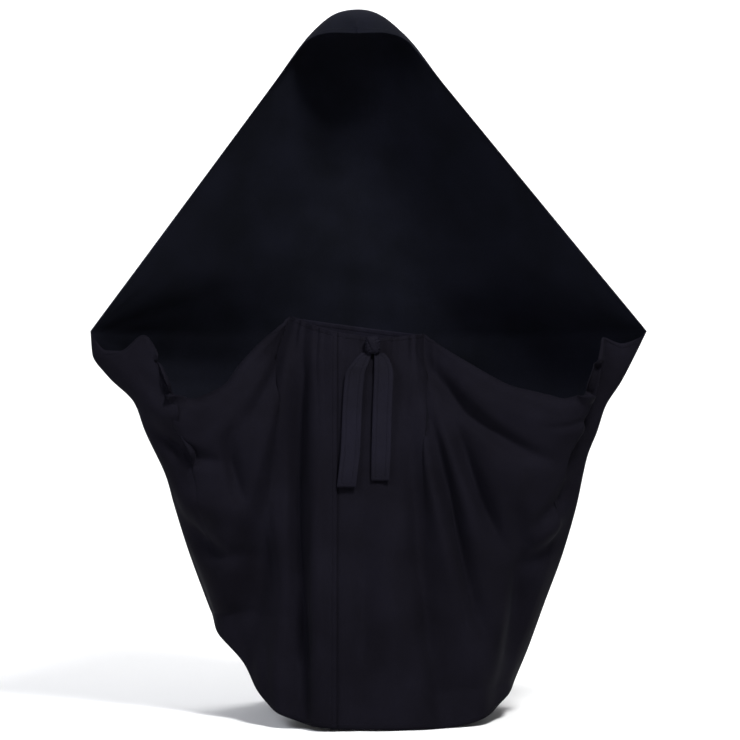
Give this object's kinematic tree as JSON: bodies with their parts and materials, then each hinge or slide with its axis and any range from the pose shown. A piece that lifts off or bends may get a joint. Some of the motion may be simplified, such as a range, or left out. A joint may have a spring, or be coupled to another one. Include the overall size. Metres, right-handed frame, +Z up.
{
  "type": "chador",
  "caption": "Waist-tied chador in matt black crepe, worn over the head and held open by both hands, closed in front below the waist.",
  "frame": {"origin": "top of the head, where the inside of the crown rests on it", "axes": "+Z up, -Y towards the front of the wearer, +X towards the viewer's right when seen from the front"},
  "size_m": [1.2278, 0.6001, 1.6052],
  "materials": {
    "mantle": "matt woven polyester crepe, black with a faint blue cast",
    "skirt": "matt woven polyester crepe, the same cloth as the mantle",
    "tie": "doubled and pressed crepe, stitched along its edges"
  },
  "bodies": {
    "root": {"mantle": "mantle", "front_panel_left": "skirt", "front_panel_right": "skirt", "waist_band": "tie", "tie_knot": "tie", "tie_end_left": "tie", "tie_end_right": "tie"}
  },
  "joints": []
}
